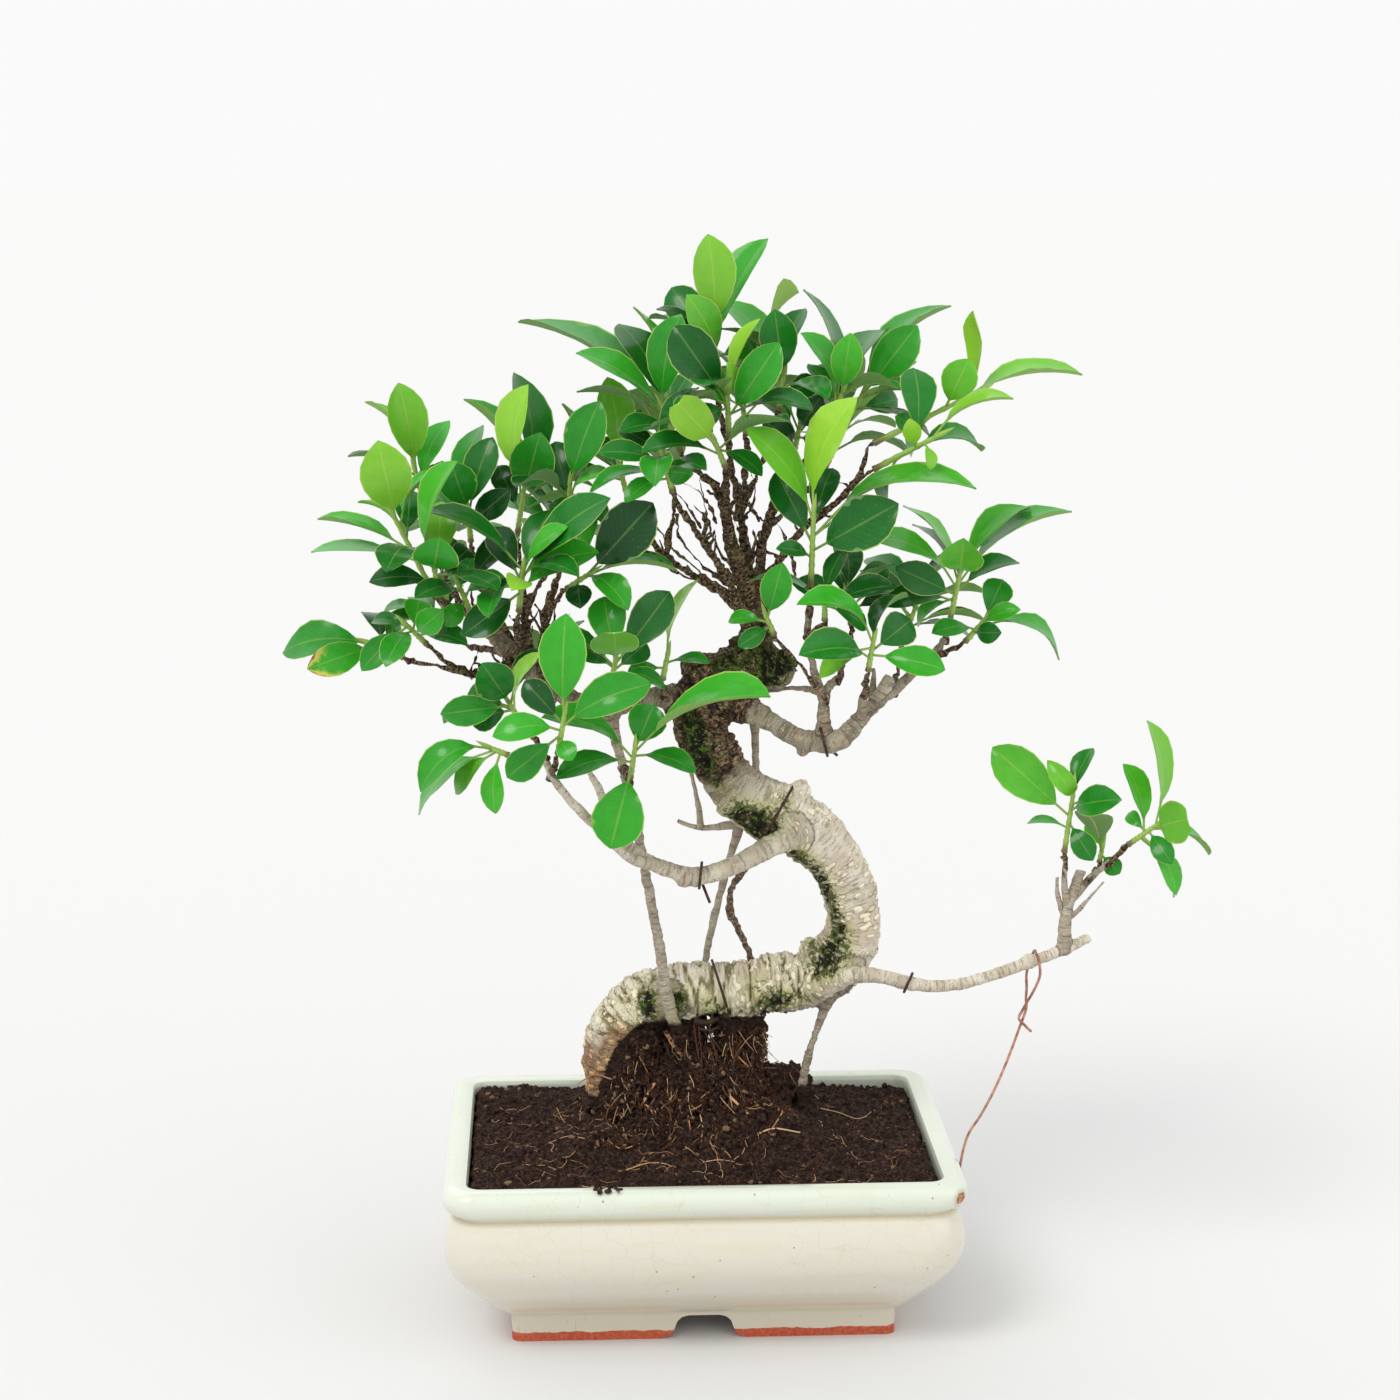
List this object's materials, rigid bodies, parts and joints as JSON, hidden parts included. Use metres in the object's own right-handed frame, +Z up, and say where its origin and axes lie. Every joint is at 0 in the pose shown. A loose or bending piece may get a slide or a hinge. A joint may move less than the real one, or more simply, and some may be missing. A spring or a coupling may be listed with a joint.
{
  "type": "chinese banyan bonsai",
  "caption": "Small-leaved banyan fig trained as an S-shaped bonsai with aerial roots, standing in soil in a cream glazed rectangular pot with cut-out feet.",
  "frame": {"origin": "middle of the whole object's box in plan, on the surface that the pot's feet stand on", "axes": "+Z up, +X to the viewer's right along the pot's long side, -Y towards the viewer"},
  "size_m": [0.4008, 0.1858, 0.4654],
  "materials": {
    "glazed_pot": "glossy pale celadon glaze with fine crackle",
    "soil": "damp crumbly peat with root fibres",
    "bark": "grey-beige bark with raised cream lenticels and moss",
    "leaf": "glossy leathery leaf with pale midrib and margin",
    "copper": "dull oxidised copper wire",
    "training_wire": "dark anodised wire",
    "screen": "black plastic mesh"
  },
  "bodies": {
    "root": {"pot": "glazed_pot", "drain_screen_left": "screen", "drain_screen_right": "screen", "soil": "soil", "trunk": "bark", "shoot_left_outer_high": "leaf", "shoot_left_outer_back": "leaf", "shoot_left_outer_mid": "leaf", "shoot_left_mid_high": "leaf", "shoot_left_top": "leaf", "shoot_left_inner_high": "leaf", "shoot_left_big_dark": "leaf", "shoot_left_front": "leaf", "shoot_left_shoulder": "leaf", "shoot_left_low_outer": "leaf", "shoot_left_far": "leaf", "shoot_low_front": "leaf", "shoot_low_outer": "leaf", "shoot_low_glossy": "leaf", "shoot_low_right": "leaf", "shoot_low_high_right": "leaf", "shoot_trunk_left_sprig": "leaf", "shoot_crown_left_low": "leaf", "shoot_crown_left_back": "leaf", "shoot_crown_left": "leaf", "shoot_crown_heart": "leaf", "shoot_crown_front": "leaf", "shoot_crown_top": "leaf", "shoot_crown_round": "leaf", "shoot_crown_right": "leaf", "shoot_crown_right_big": "leaf", "shoot_crown_dark_centre": "leaf", "shoot_long_shoot_high": "leaf", "shoot_long_shoot_low": "leaf", "shoot_right_main": "leaf", "shoot_right_round": "leaf", "shoot_right_mid_left": "leaf", "shoot_right_low": "leaf", "shoot_right_mid": "leaf", "shoot_right_outer": "leaf", "shoot_right_outer_low": "leaf", "shoot_far_upright": "leaf", "shoot_far_right": "leaf", "shoot_far_inner": "leaf", "shoot_back_crown_left": "leaf", "shoot_back_crown_middle": "leaf", "shoot_back_crown_right": "leaf", "shoot_back_left_outer": "leaf", "shoot_back_left_inner": "leaf", "shoot_back_left_low": "leaf", "shoot_back_right": "leaf", "shoot_back_low": "leaf", "wire_lower_trunk": "training_wire", "wire_upper_trunk": "training_wire", "wire_left_limb": "training_wire", "wire_right_limb": "training_wire", "wire_far_limb": "training_wire", "tie_wire": "copper"}
  },
  "joints": []
}
